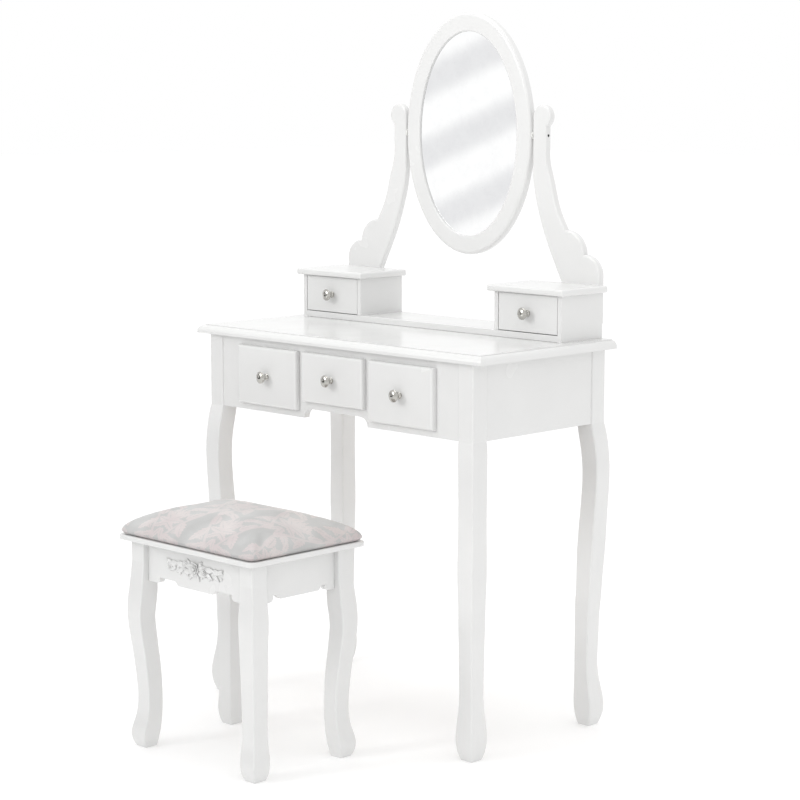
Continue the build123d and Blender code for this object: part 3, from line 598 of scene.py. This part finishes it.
def rose_spray():
    """The whole carving, laid on the apron's face."""
    pieces = []
    for at, size in ROSES:
        pieces += rose(at, size)
    for (x, y), length, width, turn in SPRAY_LEAVES:
        pieces.append(carved_leaf((x, y), length * MM, width * MM, turn, LEAF_LIFT))
        pieces.append(carved_leaf((-x, y), length * MM, width * MM, 180 - turn, LEAF_LIFT))
    for x, y, radius in SPRAY_BEADS:
        pieces.append(carved_bead((x, y), radius))
        pieces.append(carved_bead((-x, y), radius))
    spray = joined(pieces, "rose_spray")
    carving_low, carving_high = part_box("carving")
    centre = (carving_low + carving_high) / 2
    spray.data.transform(Euler((pi / 2, 0, 0)).to_matrix().to_4x4())
    spray.data.transform(Matrix.Translation((centre.x, carving_high.y, centre.z)))
    for face in spray.data.polygons:
        face.use_smooth = True
    return spray


spray = rose_spray()
settle(spray, finishes["white_lacquer"])
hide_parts("carving")
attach(spray, "stool")


# ---- Stage, light and camera ----------------------------------------------------------
STREAK_SLOPE = -0.36     # rise of the streaks in the mirror's card
STREAK_PITCH = 0.19
STREAK_SHIFT = -0.0475
CARD_DISTANCE = 2.6      # from the mirror, out along the bounced line of sight
DARK_CARD_DISTANCE = 3.2
AZIMUTH, ELEVATION, DISTANCE = radians(44.79), radians(8.09), 4.480
LENS, SENSOR_WIDTH = 99.92, 36.0


def glow(name, strength):
    """An evenly shining surface, for a card seen in the mirror and the polished metal."""
    material = bpy.data.materials.new(name)
    material.use_nodes = True
    tree = material.node_tree
    tree.nodes.clear()
    lamp = tree.nodes.new("ShaderNodeEmission")
    lamp.inputs["Color"].default_value = (1, 1, 1, 1)
    lamp.inputs["Strength"].default_value = strength
    out = tree.nodes.new("ShaderNodeOutputMaterial")
    tree.links.new(lamp.outputs[0], out.inputs[0])
    return material


def panel(name, at, towards, size, material):
    """A flat studio panel facing a point."""
    start_fresh()
    bpy.ops.mesh.primitive_plane_add(size=1, location=at)
    made = bpy.context.object
    made.name = name
    made.rotation_euler = (Vector(towards) - Vector(at)).to_track_quat("Z", "Y").to_euler()
    made.scale = (size[0], size[1], 1)
    made.data.materials.append(material)


def softbox(name, at, towards, size, power, spread=180):
    """A rectangular area light aimed at a point. Spread is in degrees."""
    light = bpy.data.lights.new(name, "AREA")
    light.spread = radians(spread)
    light.shape = "RECTANGLE"
    light.size, light.size_y = size
    light.energy = power
    lamp = bpy.data.objects.new(name, light)
    bpy.context.scene.collection.objects.link(lamp)
    lamp.location = at
    lamp.rotation_euler = (Vector(towards) - Vector(at)).to_track_quat("-Z", "Y").to_euler()


start_fresh()
bpy.ops.mesh.primitive_plane_add(size=60, location=(0, 0, 0))
floor = bpy.context.object
floor.name = "studio_floor"
paper = Finish("white paper", Roughness=0.9, Emission_Color=(1, 1, 1, 1),
               Emission_Strength=0.18)
paper.colour(paper.blend(paper.noise(3), rgb(0.86, 0.86, 0.86), rgb(0.88, 0.88, 0.88)))
floor.data.materials.append(paper.material)

world = bpy.data.worlds.new("studio")
bpy.context.scene.world = world
world.use_nodes = True
world.node_tree.nodes["Background"].inputs["Color"].default_value = (1, 1, 1, 1)
world.node_tree.nodes["Background"].inputs["Strength"].default_value = 1.0

middle = (Vector(cad_box[0]) + Vector(cad_box[1])) / 2
softbox("key", (-1.8, -4.2, 2.7), (0, 0.2, 1.15), (1.6, 1.6), 7, spread=60)
softbox("fill", (-2.6, -4.0, 3.0), middle, (2.4, 2.4), 34)
softbox("top", (0.0, 0.2, 3.8), middle, (2.4, 2.4), 22)
softbox("edge", (3.3, -2.3, 2.4), middle, (0.5, 1.6), 2.5)

# A streaked card for the mirror to reflect and a dark one behind it for the polished metal
mirror_low, mirror_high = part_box("mirror_glass")
mirror_middle = (mirror_low + mirror_high) / 2
streaks = Finish("streaked card", Roughness=1.0, Base_Color=(0, 0, 0, 1),
                 Emission_Strength=1.0)
spot = streaks.node("ShaderNodeSeparateXYZ", None, {"Vector": streaks.place()})
slope = Value(streaks, spot.outputs["Y"]) - Value(streaks, spot.outputs["X"]) * STREAK_SLOPE
wave = ((slope + STREAK_SHIFT) * (2 * pi / STREAK_PITCH)).math("SINE") * 0.5 + 0.5
shade = streaks.blend(wave.ramp(0.0, 0.85), rgb(0.86, 0.86, 0.87), rgb(1.07, 1.07, 1.07))
streaks.plug(streaks.surface.inputs["Emission Color"], shade)
table_low, table_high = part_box("table_top")
table_y = (table_low.y + table_high.y) / 2
aim = Vector((-0.001, table_y, 0.636))
direction = Vector((sin(AZIMUTH) * cos(ELEVATION), -cos(AZIMUTH) * cos(ELEVATION),
                    sin(ELEVATION)))
camera_place = aim + DISTANCE * direction
sight = mirror_middle - camera_place
sight.normalize()
bounce = Vector((sight.x, -sight.y, sight.z))
panel("mirror_card", mirror_middle + bounce * CARD_DISTANCE, mirror_middle, (0.9, 1.2),
      streaks.material)
panel("dark_card", mirror_middle + bounce * DARK_CARD_DISTANCE + Vector((0, 0, -0.2)),
      mirror_middle, (2.6, 2.2), glow("dark card", 0.05))

camera_data = bpy.data.cameras.new("camera")
camera_data.lens = LENS
camera_data.sensor_width = SENSOR_WIDTH
camera_data.clip_end = 200
camera = bpy.data.objects.new("camera", camera_data)
bpy.context.scene.collection.objects.link(camera)
camera.location = camera_place
camera.rotation_euler = (-direction).to_track_quat("-Z", "Y").to_euler()
bpy.context.scene.camera = camera
bpy.context.scene.view_settings.view_transform = "Standard"
